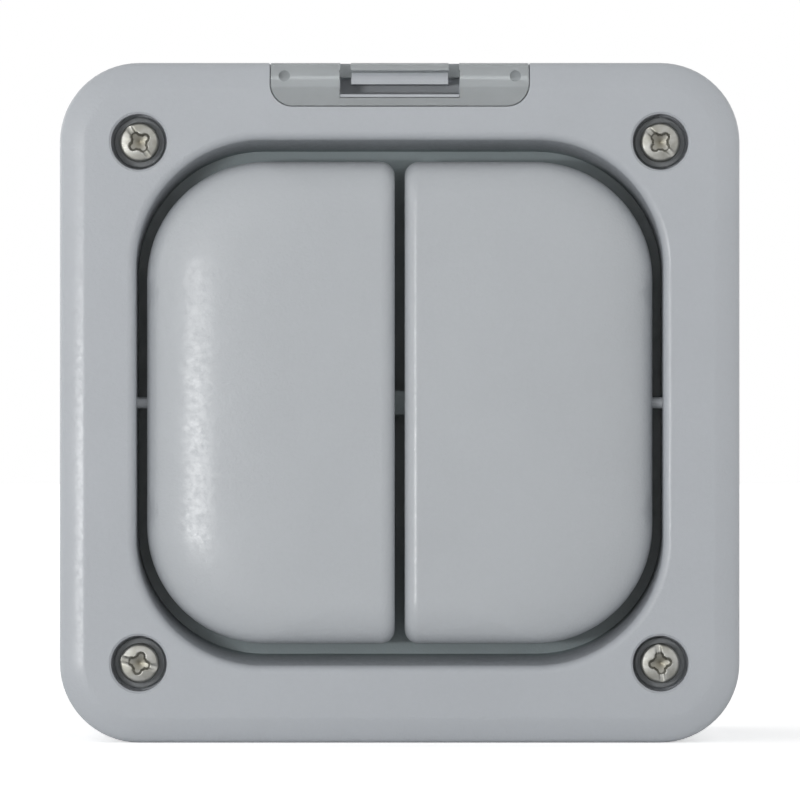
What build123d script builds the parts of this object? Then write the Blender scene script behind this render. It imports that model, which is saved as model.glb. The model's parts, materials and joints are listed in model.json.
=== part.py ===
from build123d import *
import os
from math import cos, radians, sin

# Two-gang weatherproof rocker switch in its surface box.
# Shapes are drawn with x to the right, y up and z out of the wall, then turned so that +Z is up.
# Sizes are in millimetres and angles in degrees.

# Cover and box
plate_side = 96.0
plate_corner = 11.2
plate_roll = 3.8
plate_thickness = 3.0
cover_depth = 18.0
cover_wall = 2.6
box_depth = 34.0
box_wall = 3.0
box_base = 3.0
parting_bevel = 0.4
back_bevel = 0.8

# Tongue of the box, channel of the cover and the seal between them
channel_skin = 1.4
channel_width = 1.8
channel_depth = 4.0
channel_rib = 1.4
channel_bridge = 2.0
tongue_height = 2.6
tongue_clearance = 0.2
gasket_clearance = 0.05

# Cover screws with their counterbores, seals, towers, bosses and inserts
screw_radius = 1.45
screw_hole_clearance = 0.25
head_radius = 2.8
head_height = 2.1
head_bevel = 0.7
recess_width = 0.9
recess_length = 2.8
recess_depth = 1.2
head_slot_width = 0.7
head_slot_depth = 0.4
counterbore_radius = 3.95
counterbore_depth = 4.2
counterbore_bevel = 0.3
tower_wall = 1.3
seal_radius = 3.6
seal_thickness = 1.0
seal_hole_clearance = 0.1
thread_reach = 8.0
thread_clearance = 0.05
insert_wall = 0.75
insert_clearance = 0.02
insert_recess = 0.4
boss_wall = 2.0
boss_web = 2.0

# Wall fixings, cable knock-outs and earth terminal in the box
fixing_spacing = 60.3
fixing_radius = 2.25
fixing_pad_wall = 2.6
fixing_pad_height = 1.5
knockout_radius = 10.2
knockout_groove = 0.9
knockout_web = 1.0
earth_length = 10.0
earth_width = 8.0
earth_height = 9.0
earth_wall_gap = 5.0
earth_fence = 1.5
earth_fence_height = 4.0
earth_seat_clearance = 0.1
earth_wire_radius = 1.7
earth_screw_radius = 1.75
earth_head_radius = 2.6
earth_head_height = 1.6

# Well of the cover, with the bearing post between the rockers
well_rim = 10.8
well_corner = 17.8
well_wall = 2.2
well_floor = 2.5
well_edge_roll = 1.3
well_draft = 1.45
floor_clearance = 1.0
post_thickness = 3.4
post_width = 3.3
post_over_pivot = 1.9

# Rockers
side_gap = 1.4
end_gap = 3.1
centre_gap = 1.4
rocker_corner = 16.7
face_corner = 4.0
rocker_proud = 3.0
roll_height = 8.5
roll_power = 1.6
side_roll = 24.0
end_roll = 6.0
inner_roll = 2.0
rocker_skirt = 2.0
rocker_wall = 2.2
roll_sections = 15
hollow_steps = (5, 8, 11)
rocker_tilt = 3.0
pivot_depth = 5.0
pivot_radius = 0.8
pivot_fit = 0.06
pivot_reach = 1.3
pivot_end_play = 0.3
post_clearance = 0.6
pivot_block_length = 3.5
pivot_block_width = 9.0
rib_thickness = 1.4
rib_depth = 4.0
rib_spread = 22.0
peg_radius = 3.0

# Label window in the top edge of the cover
window_width = 36.4
window_drop = 6.1
window_corner = 3.1
window_thickness = 2.0
window_return = 7.0
window_gap = 0.15
window_backing = 1.6
catch_width = 13.8
catch_top = 1.35
catch_bar = 1.7
catch_bar_drop = 0.5
catch_slot = 1.45
catch_slot_depth = 6.4
catch_frame = 1.5
catch_frame_depth = 1.2
catch_lip = 0.4
catch_lip_drop = 0.2
catch_clearance = 0.1
dimple_radius = 0.8
dimple_depth = 0.5
dimple_inset_x = 1.9
dimple_inset_y = 1.9

# Membranes and the carrier plate behind the well
membrane_thickness = 1.2
membrane_width = 17.0
membrane_length = 42.0
dome_radius = 4.4
dome_wall = 1.0
dome_rise = 1.0
dome_hole_clearance = 0.6
press_reach = 12.0
press_clearance = 0.3
carrier_thickness = 2.0
carrier_margin = 2.0
carrier_corner = 4.0
nub_hole_clearance = 0.8
module_boss_radius = 2.8
module_screw_radius = 1.1
module_screw_clearance = 0.2
module_pilot_clearance = 0.05
module_head_radius = 2.3
module_head_height = 1.7
module_slot_width = 0.6
module_slot_depth = 0.8
pilot_skin = 0.5
pilot_end_play = 0.4

# Switch modules
module_width = 21.0
module_length = 44.0
module_depth = 21.5
module_wall = 1.6
module_floor = 1.6
ear_reach = 3.5
ear_radius = 3.6
ear_thickness = 2.2
trunnion_radius = 1.3
trunnion_fit = 0.06
trunnion_inset = 0.3
dolly_side_gap = 0.9
dolly_reach = 15.5
dolly_thickness = 2.8
nub_radius = 2.4
stem_radius = 3.2
stem_length = 5.7
bore_radius = 1.75
bore_roof = 1.4
plunger_clearance = 0.08
plunger_length = 5.0
plunger_nose = 1.2
spring_wire = 0.4
spring_turns = 3
spring_clearance = 0.1

# Contacts and terminals of a module
fulcrum_height = 5.5
fulcrum_radius = 0.8
fulcrum_fit = 0.06
contact_width = 5.0
contact_reach = 9.4
contact_overhang = 1.7
contact_thickness = 0.9
contact_tilt = 4.0
contact_clearance = 0.1
saddle_length = 4.4
saddle_height = 2.5
arm_lift = 1.0
detent_radius = 3.0
detent_depth = 0.35
rivet_radius = 1.5
rivet_height = 0.8
strip_thickness = 1.0
strip_width = 3.6
strap_thickness = 1.2
fork_clearance = 0.35
fork_thickness = 1.0
fork_width = 3.2
fork_over_pivot = 1.3
cage_width = 6.4
cage_length = 6.6
cage_height = 7.2
cage_side = 5.2
cage_seat_gap = 0.2
cage_wire_height = 4.8
wire_radius = 1.7
wire_entry_clearance = 0.4
terminal_screw_radius = 1.7
terminal_screw_clearance = 0.05
terminal_screw_reach = 2.6
terminal_access_clearance = 0.6
terminal_slot_width = 0.6
terminal_slot_depth = 0.8

# Places worked out from the sizes above
plate_half = plate_side / 2
screw_place = plate_half - plate_corner
catch_high = plate_half - catch_top
catch_low = catch_high - catch_bar - catch_slot
catch_frame_half = catch_width / 2 + catch_frame
well_half = plate_half - well_rim
rocker_half = well_half - side_gap
rocker_reach = well_half - end_gap
gang_place = (centre_gap / 2 + rocker_half) / 2

# Depths in front of the wall, worked out from the sizes above
parting_z = box_depth
front_z = parting_z + cover_depth
face_z = front_z + rocker_proud
pivot_z = front_z - pivot_depth
rim_z = face_z - roll_height - rocker_skirt
well_floor_z = rim_z - rocker_reach * sin(radians(rocker_tilt)) - floor_clearance
floor_back_z = well_floor_z - well_floor
channel_top_z = parting_z + channel_depth
head_seat_z = front_z - counterbore_depth + seal_thickness
dome_top_z = well_floor_z + dome_rise
carrier_front_z = floor_back_z - membrane_thickness
carrier_back_z = carrier_front_z - carrier_thickness
module_back_z = carrier_back_z - module_depth
module_floor_z = module_back_z + module_floor
dolly_z = carrier_back_z - trunnion_radius - trunnion_fit
bore_roof_z = dolly_z - bore_roof
fulcrum_z = module_floor_z + fulcrum_height
plunger_tip_z = fulcrum_z + saddle_height - detent_depth + press_clearance
plunger_top_z = plunger_tip_z + plunger_length
moving_rivet_z = fulcrum_z + arm_lift - rivet_height
fixed_rivet_z = moving_rivet_z - contact_reach * sin(radians(contact_tilt)) - contact_clearance
cage_place = module_length / 2 - module_wall - cage_seat_gap - cage_length / 2
ear_place = module_length / 2 + ear_reach


def block(x, y, z):
    """A box between the given low and high values on each axis."""
    size = [high - low for low, high in (x, y, z)]
    middle = [(high + low) / 2 for low, high in (x, y, z)]
    return Pos(*middle) * Box(*size)


def rod(x, y, z, radius):
    """A round rod along the depth, between the low and high value of z."""
    low, high = z
    return Pos(x, y, (low + high) / 2) * Cylinder(radius, high - low)


def cross_rod(x, y, z, radius):
    """A round rod along the width, between the low and high value of x."""
    low, high = x
    return Pos((low + high) / 2, y, z) * Rot(0, 90, 0) * Cylinder(radius, high - low)


def upright_rod(x, y, z, radius):
    """A round rod along the height, between the low and high value of y."""
    low, high = y
    return Pos(x, (low + high) / 2, z) * Rot(90, 0, 0) * Cylinder(radius, high - low)


def slab(width, height, corner, z):
    """A flat plate with round corners, between the low and high value of z."""
    low, high = z
    return Pos(0, 0, low) * extrude(RectangleRounded(width, height, corner), high - low)


def inset_slab(inset, z):
    """A plate with the outline of the cover, drawn in by an inset."""
    side = plate_side - 2 * inset
    return slab(side, side, plate_corner - inset, z)


def inset_ring(outer_inset, inner_inset, z):
    """A ring that follows the outline of the cover between two insets."""
    return inset_slab(outer_inset, z) - inset_slab(inner_inset, z)


def rolled_front(inset, low):
    """The outer form of the cover with its rolled front edge, drawn in by an inset."""
    body = inset_slab(inset, (low, front_z - inset))
    return fillet(body.edges().group_by(Axis.Z)[-1], plate_roll - inset)


def at_corners(place_x, place_y, shape):
    """Four copies of a shape, one at each corner of a rectangle about the centre."""
    places = [(sx * place_x, sy * place_y) for sx in (-1, 1) for sy in (-1, 1)]
    return Part() + [Pos(x, y, 0) * shape for x, y in places]


def make_back_box():
    """Surface box with tongue, screw bosses, fixing pads, knock-outs and earth fence."""
    body = inset_slab(0, (0, parting_z))
    body = chamfer(body.edges().group_by(Axis.Z)[-1], parting_bevel)
    body = chamfer(body.edges().group_by(Axis.Z)[0], back_bevel)
    body -= inset_slab(box_wall, (box_base, parting_z))
    tongue_out = channel_skin + tongue_clearance
    tongue_in = channel_skin + channel_width - tongue_clearance
    body += inset_ring(tongue_out, tongue_in, (parting_z - box_wall, parting_z + tongue_height))
    insert_radius = screw_radius + thread_clearance + insert_wall
    boss_radius = insert_radius + boss_wall
    boss = rod(0, 0, (box_base, parting_z), boss_radius)
    web = block(
        (0, plate_corner - box_wall / 2),
        (-boss_web / 2, boss_web / 2),
        (box_base, parting_z - box_wall),
    )
    for turn in (45, 135, 225, 315):
        corner = Rot(0, 0, turn - 45) * Pos(screw_place, screw_place, 0) * (boss + Rot(0, 0, 45) * web)
        body += corner
    insert_low = parting_z - insert_recess - thread_reach
    insert_hole = rod(0, 0, (insert_low, parting_z), insert_radius + insert_clearance)
    body -= at_corners(screw_place, screw_place, insert_hole)
    for side in (-1, 1):
        fixing = side * fixing_spacing / 2
        body += rod(fixing, 0, (box_base, box_base + fixing_pad_height), fixing_radius + fixing_pad_wall)
        body -= rod(fixing, 0, (0, box_base + fixing_pad_height), fixing_radius)
        wall = sorted((side * plate_half, side * (plate_half - box_wall + knockout_web)))
        groove = upright_rod(0, wall, box_depth / 2, knockout_radius)
        groove -= upright_rod(0, wall, box_depth / 2, knockout_radius - knockout_groove)
        body -= groove
    earth_y = earth_centre()
    fence = earth_fence + earth_seat_clearance
    outer = block(
        (-earth_length / 2 - fence, earth_length / 2 + fence),
        (earth_y - earth_width / 2 - fence, earth_y + earth_width / 2 + fence),
        (box_base, box_base + earth_fence_height),
    )
    inner = block(
        (-earth_length / 2 - earth_seat_clearance, earth_length / 2 + earth_seat_clearance),
        (earth_y - earth_width / 2 - earth_seat_clearance, earth_y + earth_width / 2 + earth_seat_clearance),
        (box_base, box_base + earth_fence_height),
    )
    return body + (outer - inner)


def earth_centre():
    """Height of the earth terminal in the box, below the middle."""
    return -(plate_half - box_wall - earth_wall_gap - earth_width / 2)


def make_earth_terminal():
    """Brass block with a wire hole across it and a screw hole from the front."""
    middle = earth_centre()
    low, high = box_base, box_base + earth_height
    body = block(
        (-earth_length / 2, earth_length / 2),
        (middle - earth_width / 2, middle + earth_width / 2),
        (low, high),
    )
    body -= cross_rod((-earth_length / 2, earth_length / 2), middle, (low + high) / 2, earth_wire_radius)
    return body - rod(0, middle, ((low + high) / 2, high), earth_screw_radius + thread_clearance)


def make_earth_screw():
    """Slotted screw of the earth terminal."""
    top = box_base + earth_height
    middle = earth_centre()
    screw = rod(0, middle, (top - earth_height / 2 + earth_wire_radius, top), earth_screw_radius)
    screw += rod(0, middle, (top, top + earth_head_height), earth_head_radius)
    slot = block(
        (-earth_head_radius, earth_head_radius),
        (middle - module_slot_width / 2, middle + module_slot_width / 2),
        (top + earth_head_height - module_slot_depth, top + earth_head_height),
    )
    return screw - slot


def make_boss_inserts():
    """Brass inserts in the four screw bosses of the box."""
    top = parting_z - insert_recess
    bore = screw_radius + thread_clearance
    sleeve = rod(0, 0, (top - thread_reach, top), bore + insert_wall)
    sleeve -= rod(0, 0, (top - thread_reach, top), bore)
    return at_corners(screw_place, screw_place, sleeve)


def make_box_gasket():
    """Rubber ring at the top of the channel, on the tongue of the box."""
    outer = channel_skin + gasket_clearance
    inner = channel_skin + channel_width - gasket_clearance
    return inset_ring(outer, inner, (parting_z + tongue_height, channel_top_z))


def window_region(gap, low):
    """Prism over the label window, wider than it by a gap on the sides and below."""
    height = window_drop + gap + plate_roll
    width = window_width + 2 * gap
    outline = Rectangle(width, height)
    outline = fillet(outline.vertices().group_by(Axis.Y)[0], window_corner + gap)
    middle = plate_half - window_drop - gap + height / 2
    return Pos(0, middle, low) * extrude(outline, front_z + plate_roll - low)


def catch_shape():
    """Rounded bar and thin lip of the cover, between which the label window is prised out."""
    seat = front_z - window_thickness
    half = catch_width / 2 - catch_clearance
    bar_y = (catch_high - catch_bar, catch_high)
    bar = block((-half, half), bar_y, (seat - window_thickness, front_z))
    bar &= rolled_front(catch_bar_drop, parting_z)
    lip_y = (catch_low - catch_lip, catch_low)
    return bar + block((-catch_frame_half, catch_frame_half), lip_y, (seat, front_z - catch_lip_drop))


def catch_pocket(low, top):
    """Slot below the catch bar and the openings at its two ends, which reach up to a given height."""
    pocket = block(
        (-catch_frame_half, catch_frame_half),
        (catch_low, catch_high - catch_bar),
        (low, front_z),
    )
    for side in (-1, 1):
        end = sorted((side * catch_width / 2, side * catch_frame_half))
        pocket += block(end, (catch_low, top), (low, front_z))
    return pocket


def well_form():
    """Space of the well, with draft on its top and bottom walls."""
    low = RectangleRounded(2 * well_half, 2 * (well_half - well_draft), well_corner)
    high = RectangleRounded(2 * well_half, 2 * well_half, well_corner)
    return loft([Pos(0, 0, well_floor_z) * low, Pos(0, 0, front_z) * high], ruled=True)


def make_front_cover():
    """Front moulding: plate, skirt, seal channel, well, post, towers and window recess."""
    cover = rolled_front(0, parting_z)
    cover = chamfer(cover.edges().group_by(Axis.Z)[0], parting_bevel)
    cover -= well_form()
    front_face = cover.faces().filter_by(Plane.XY).sort_by(Axis.Z)[-1]
    cover = fillet(front_face.inner_wires()[0].edges(), well_edge_roll)

    rib_top = channel_top_z + channel_bridge
    cavity = inset_slab(channel_skin + channel_width + channel_rib, (parting_z, rib_top))
    cavity += inset_slab(cover_wall, (rib_top, front_z - plate_thickness))
    well_block_half = well_half + well_wall
    cavity -= slab(2 * well_block_half, 2 * well_block_half, well_corner + well_wall, (floor_back_z, front_z))
    tower_radius = counterbore_radius + tower_wall
    cavity -= at_corners(screw_place, screw_place, rod(0, 0, (parting_z, front_z), tower_radius))
    backing_half = window_width / 2 + window_gap + window_backing
    backing_low = front_z - window_return - window_backing
    cavity -= block(
        (-backing_half, backing_half),
        (plate_half - window_drop - window_gap - window_backing, plate_half),
        (backing_low, front_z),
    )
    cover -= cavity
    channel_in = channel_skin + channel_width
    cover -= inset_ring(channel_skin, channel_in, (parting_z, channel_top_z))

    bore = rod(0, 0, (front_z - counterbore_depth, front_z), counterbore_radius)
    bore += rod(0, 0, (parting_z, front_z), screw_radius + screw_hole_clearance)
    bevel_low = front_z - counterbore_bevel
    bore += Pos(0, 0, bevel_low + counterbore_bevel / 2) * Cone(
        counterbore_radius, counterbore_radius + counterbore_bevel, counterbore_bevel
    )
    cover -= at_corners(screw_place, screw_place, bore)

    recess = window_region(window_gap, front_z - window_return - window_gap)
    recess -= rolled_front(window_thickness, parting_z)
    cover -= recess
    cover -= catch_pocket(front_z - catch_slot_depth, catch_high)
    cover += catch_shape()

    cover += make_bearing_post()
    for side in (-1, 1):
        gang = side * gang_place
        for end in (-1, 1):
            press = end * press_reach
            cover -= rod(gang, press, (floor_back_z, well_floor_z), dome_radius + dome_hole_clearance)
            ear = end * ear_place
            cover += rod(gang, ear, (carrier_front_z, floor_back_z), module_boss_radius)
            pilot = module_screw_radius + module_pilot_clearance
            cover -= rod(gang, ear, (carrier_front_z, well_floor_z - pilot_skin), pilot)
        hole = sorted((side * well_half, side * (well_half + pivot_reach + pivot_end_play)))
        cover -= cross_rod(hole, 0, pivot_z, pivot_radius + pivot_fit)
    return cover


def make_bearing_post():
    """Post between the rockers, with a blind bearing hole on each side."""
    half = post_thickness / 2
    post = block(
        (-half, half),
        (-post_width / 2, post_width / 2),
        (well_floor_z, pivot_z + post_over_pivot),
    )
    depth = pivot_reach + pivot_end_play / 2
    for side in (-1, 1):
        hole = sorted((side * half, side * (half - depth)))
        post -= cross_rod(hole, 0, pivot_z, pivot_radius + pivot_fit)
    return post


def make_cover_screws():
    """Pan-head screws with a cross recess and a slot, in the four corners."""
    head = rod(0, 0, (head_seat_z, head_seat_z + head_height), head_radius)
    head = chamfer(head.edges().group_by(Axis.Z)[-1], head_bevel)
    tip = parting_z - insert_recess - thread_reach
    screw = head + rod(0, 0, (tip, head_seat_z), screw_radius)
    top = head_seat_z + head_height
    arm = (-recess_length / 2, recess_length / 2)
    waist = (-recess_width / 2, recess_width / 2)
    screw -= block(arm, waist, (top - recess_depth, top))
    screw -= block(waist, arm, (top - recess_depth, top))
    screw -= block(
        (-head_radius, head_radius),
        (-head_slot_width / 2, head_slot_width / 2),
        (top - head_slot_depth, top),
    )
    return at_corners(screw_place, screw_place, screw)


def make_screw_seals():
    """Rubber washers under the screw heads."""
    low = front_z - counterbore_depth
    washer = rod(0, 0, (low, low + seal_thickness), seal_radius)
    washer -= rod(0, 0, (low, low + seal_thickness), screw_radius + seal_hole_clearance)
    return at_corners(screw_place, screw_place, washer)


def make_label_window():
    """Insert that wraps the top edge of the cover, with a slot for the catch bar."""
    body = rolled_front(0, parting_z) & window_region(0, front_z - window_return)
    body -= rolled_front(window_thickness - window_gap / 3, parting_z)
    opening_half = catch_frame_half + catch_clearance
    opening_low = catch_low - catch_lip - catch_clearance
    body -= block(
        (-opening_half, opening_half),
        (opening_low, plate_half),
        (front_z - catch_frame_depth, front_z),
    )
    through_z = front_z - 2 * window_thickness - catch_clearance
    body -= block(
        (-opening_half, opening_half),
        (opening_low, catch_high + catch_clearance),
        (through_z, front_z),
    )
    body -= catch_pocket(through_z, plate_half)
    dimple_x = window_width / 2 - dimple_inset_x
    dimple_y = plate_half - dimple_inset_y
    dimple_z = (front_z - plate_roll / 4 - dimple_depth, front_z)
    for side in (-1, 1):
        body -= rod(side * dimple_x, dimple_y, dimple_z, dimple_radius)
    return body


def rocker_section(step, wall, inner, z):
    """Outline of the right rocker at one step of its roll, inside it by a wall."""
    drawn_in = (1 - cos(roll_turn(step))) ** roll_power
    outer = rocker_half - side_roll * drawn_in - wall
    height = 2 * (rocker_reach - end_roll * drawn_in - wall)
    outline = Rectangle(outer - inner, height)
    corner = rocker_corner + (face_corner - rocker_corner) * drawn_in - wall
    outline = fillet(outline.vertices().group_by(Axis.X)[-1], corner)
    return Pos((outer + inner) / 2, 0, z) * outline


def roll_turn(step):
    """Turn of the rocker's roll at one step, from its side to its face."""
    return radians(90 * step / (roll_sections - 1))


def roll_level(step):
    """Level of the rocker's roll at one step."""
    return face_z - roll_height + roll_height * sin(roll_turn(step))


def rocker_form():
    """Outer form of the right rocker: a pillow that rolls over most on its outer side."""
    inner = centre_gap / 2
    sections = [rocker_section(step, 0, -inner, roll_level(step)) for step in range(roll_sections)]
    pillow = loft(sections)
    pillow += extrude(rocker_section(0, 0, -inner, rim_z), rocker_skirt)
    pillow -= block((-plate_half, inner), (-plate_half, plate_half), (0, face_z + rocker_proud))
    edges = pillow.faces().sort_by(Axis.X)[0].edges().filter_by(lambda edge: edge.center().Z > rim_z)
    return fillet(edges, inner_roll)


def rocker_hollow():
    """Space inside the right rocker, which leaves its wall."""
    inner = centre_gap / 2 + rocker_wall
    sections = [rocker_section(0, rocker_wall, inner, rim_z)]
    for step in hollow_steps:
        sections.append(rocker_section(step, rocker_wall, inner, roll_level(step) - rocker_wall))
    return loft(sections, ruled=True)


def make_right_rocker():
    """Hollow rocker with ribs, two press pegs and its pivot stubs."""
    form = rocker_form()
    rocker = form - rocker_hollow()
    inner = centre_gap / 2
    roof_z = roll_level(hollow_steps[-1]) - rocker_wall
    rib_root_z = roof_z + rocker_wall / 2
    ribs = block(
        (gang_place - rib_thickness / 2, gang_place + rib_thickness / 2),
        (-rocker_reach, rocker_reach),
        (roof_z - rib_depth, rib_root_z),
    )
    for place in (-rib_spread, 0, rib_spread):
        ribs += block(
            (inner, rocker_half),
            (place - rib_thickness / 2, place + rib_thickness / 2),
            (roof_z - rib_depth, rib_root_z),
        )
    notch_x = post_thickness / 2 + post_clearance
    ribs += block(
        (notch_x, notch_x + pivot_block_length),
        (-pivot_block_width / 2, pivot_block_width / 2),
        (rim_z, rib_root_z),
    )
    rocker += ribs & form
    peg_z = (dome_top_z + press_clearance, roof_z)
    for end in (-1, 1):
        rocker += rod(gang_place, end * press_reach, peg_z, peg_radius)
    notch_y = post_width / 2 + post_clearance
    rocker -= block((0, notch_x), (-notch_y, notch_y), (0, pivot_z + post_over_pivot + post_clearance))
    rocker += cross_rod((post_thickness / 2 - pivot_reach, notch_x), 0, pivot_z, pivot_radius)
    rocker += cross_rod((rocker_half - rocker_wall, well_half + pivot_reach), 0, pivot_z, pivot_radius)
    return rocker


def make_membrane():
    """Rubber sheet of one gang, with two hollow domes that stand through the well floor."""
    sheet = slab(membrane_width, membrane_length, carrier_corner, (carrier_front_z, floor_back_z))
    for end in (-1, 1):
        press = end * press_reach
        sheet += rod(0, press, (carrier_front_z, dome_top_z), dome_radius)
    for end in (-1, 1):
        press = end * press_reach
        sheet -= rod(0, press, (carrier_front_z, dome_top_z - dome_wall), dome_radius - dome_wall)
    return sheet


def make_module_carrier():
    """Plate that clamps both membranes to the well floor and carries both modules."""
    half_x = gang_place + module_width / 2 + carrier_margin
    half_y = ear_place + ear_radius
    z = (carrier_back_z, carrier_front_z)
    plate = slab(2 * half_x, 2 * half_y, carrier_corner, z)
    plate -= at_corners(gang_place, press_reach, rod(0, 0, z, nub_radius + nub_hole_clearance))
    screw_hole = rod(0, 0, z, module_screw_radius + module_screw_clearance)
    return plate - at_corners(gang_place, ear_place, screw_hole)


def make_module_screws():
    """Slotted screws through the module ears and the carrier into the well floor."""
    seat = carrier_back_z - ear_thickness
    screw = rod(0, 0, (seat, well_floor_z - pilot_skin - pilot_end_play), module_screw_radius)
    screw += rod(0, 0, (seat - module_head_height, seat), module_head_radius)
    low = seat - module_head_height
    screw -= block(
        (-module_head_radius, module_head_radius),
        (-module_slot_width / 2, module_slot_width / 2),
        (low, low + module_slot_depth),
    )
    return at_corners(gang_place, ear_place, screw)


def cage_places():
    """Places of the three terminal cages in a module, by name."""
    return {
        "common": (cage_side, cage_place),
        "way_one": (-cage_side, cage_place),
        "way_two": (-cage_side, -cage_place),
    }


def make_switch_base():
    """Open moulded housing of a module, with dolly bearings, wire entries and fixing ears."""
    half_x, half_y = module_width / 2, module_length / 2
    base = block((-half_x, half_x), (-half_y, half_y), (module_back_z, carrier_back_z))
    base -= block(
        (-half_x + module_wall, half_x - module_wall),
        (-half_y + module_wall, half_y - module_wall),
        (module_floor_z, carrier_back_z),
    )
    ear_low = carrier_back_z - ear_thickness
    for end in (-1, 1):
        ear = rod(0, end * ear_place, (ear_low, carrier_back_z), ear_radius)
        span = sorted((end * half_y, end * ear_place))
        ear += block((-ear_radius, ear_radius), span, (ear_low, carrier_back_z))
        screw_hole = module_screw_radius + module_screw_clearance
        base += ear - rod(0, end * ear_place, (ear_low, carrier_back_z), screw_hole)
    bearing = trunnion_radius + trunnion_fit
    base -= cross_rod((-half_x, half_x), 0, dolly_z, bearing)
    base -= block((-half_x, half_x), (-bearing, bearing), (dolly_z, carrier_back_z))
    wire_z = module_floor_z + cage_wire_height
    for x, y in cage_places().values():
        wall = sorted((y, half_y if y > 0 else -half_y))
        base -= upright_rod(x, wall, wire_z, wire_radius + wire_entry_clearance)
        access = terminal_screw_radius + terminal_access_clearance
        base -= rod(x, y, (module_back_z, module_floor_z), access)
    return base


def make_dolly():
    """Inner rocker with two press nubs, a bored stem and its trunnions."""
    half_x = module_width / 2 - module_wall - dolly_side_gap
    plate_low = dolly_z - dolly_thickness
    dolly = block((-half_x, half_x), (-dolly_reach, dolly_reach), (plate_low, dolly_z))
    nub_tip = dome_top_z - dome_wall - press_clearance
    for end in (-1, 1):
        dolly += rod(0, end * press_reach, (plate_low, nub_tip), nub_radius)
    reach = module_width / 2 - trunnion_inset
    dolly += cross_rod((-reach, reach), 0, dolly_z, trunnion_radius)
    stem_low = plate_low - stem_length
    dolly += rod(0, 0, (stem_low, plate_low), stem_radius)
    return dolly - rod(0, 0, (stem_low, bore_roof_z), bore_radius)


def make_plunger():
    """Round-nosed plunger in the stem of the dolly."""
    radius = bore_radius - plunger_clearance
    body = rod(0, 0, (plunger_tip_z, plunger_top_z), radius)
    return chamfer(body.edges().group_by(Axis.Z)[0], plunger_nose)


def make_spring():
    """Coil spring between the plunger and the roof of the bore."""
    low = plunger_top_z + spring_wire / 2 + spring_clearance
    high = bore_roof_z - spring_wire / 2 - spring_clearance
    radius = bore_radius - spring_clearance - spring_wire
    path = Helix((high - low) / spring_turns, high - low, radius)
    wire = Plane(path @ 0, z_dir=path % 0) * Rectangle(spring_wire, spring_wire)
    return Pos(0, 0, low) * sweep(wire, path, is_frenet=True)


def make_moving_contact():
    """See-saw contact that rocks on the fulcrum, with a rivet under each end."""
    half_x = contact_width / 2
    reach = contact_reach + contact_overhang
    arm_low = fulcrum_z + arm_lift
    contact = block((-half_x, half_x), (-reach, reach), (arm_low, arm_low + contact_thickness))
    top = fulcrum_z + saddle_height
    contact += block((-half_x, half_x), (-saddle_length / 2, saddle_length / 2), (fulcrum_z, top))
    contact -= cross_rod((-half_x, half_x), 0, fulcrum_z, fulcrum_radius + fulcrum_fit)
    contact -= cross_rod((-half_x, half_x), 0, top - detent_depth + detent_radius, detent_radius)
    for end in (-1, 1):
        contact += rod(0, end * contact_reach, (moving_rivet_z, arm_low), rivet_radius)
    return contact


def make_cage(name):
    """Terminal block on the module floor, with a wire hole and a screw hole from behind."""
    x, y = cage_places()[name]
    wide = (x - cage_width / 2, x + cage_width / 2)
    long = (y - cage_length / 2, y + cage_length / 2)
    wire_z = module_floor_z + cage_wire_height
    cage = block(wide, long, (module_floor_z, module_floor_z + cage_height))
    cage -= upright_rod(x, long, wire_z, wire_radius)
    return cage - rod(x, y, (module_floor_z, wire_z), terminal_screw_radius + terminal_screw_clearance)


def make_common_terminal():
    """Terminal with the fork and fulcrum bar that carry the moving contact."""
    inner = contact_width / 2 + fork_clearance
    outer = inner + fork_thickness
    base_z = (module_floor_z, module_floor_z + strap_thickness)
    body = make_cage("common")
    body += block((-outer, outer), (-fork_width / 2, fork_width / 2), base_z)
    for x in ((-outer, -inner), (inner, outer)):
        body += block(x, (-fork_width / 2, fork_width / 2), (module_floor_z, fulcrum_z + fork_over_pivot))
    body += cross_rod((-outer, outer), 0, fulcrum_z, fulcrum_radius)
    strap_end = cage_place - cage_length / 2
    return body + block((inner, cage_side), (0, strap_end), base_z)


def make_way_terminal(name):
    """Terminal with a strip that holds the fixed contact under one end of the see-saw."""
    x, y = cage_places()[name]
    end = 1 if y > 0 else -1
    top = fixed_rivet_z - rivet_height
    z = (top - strip_thickness, top)
    face = end * (cage_place - cage_length / 2)
    tail = face - end * strip_width / 2
    near = end * (contact_reach - strip_width / 2)
    strip = block((-strip_width / 2, strip_width / 2), sorted((near, tail)), z)
    strip += block((x, 0), sorted((face, tail)), z)
    strip += block((-strip_width / 2, 0), sorted((near, face)), z)
    return make_cage(name) + strip + rod(0, end * contact_reach, (top, fixed_rivet_z), rivet_radius)


def make_terminal_screws():
    """Slotted grub screws of the three terminals, driven from behind the module."""
    low = module_back_z + terminal_slot_depth / 2
    high = module_floor_z + terminal_screw_reach
    screws = Part()
    for x, y in cage_places().values():
        screw = rod(x, y, (low, high), terminal_screw_radius)
        screw -= block(
            (x - terminal_screw_radius, x + terminal_screw_radius),
            (y - terminal_slot_width / 2, y + terminal_slot_width / 2),
            (low, low + terminal_slot_depth),
        )
        screws += screw
    return screws


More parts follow.
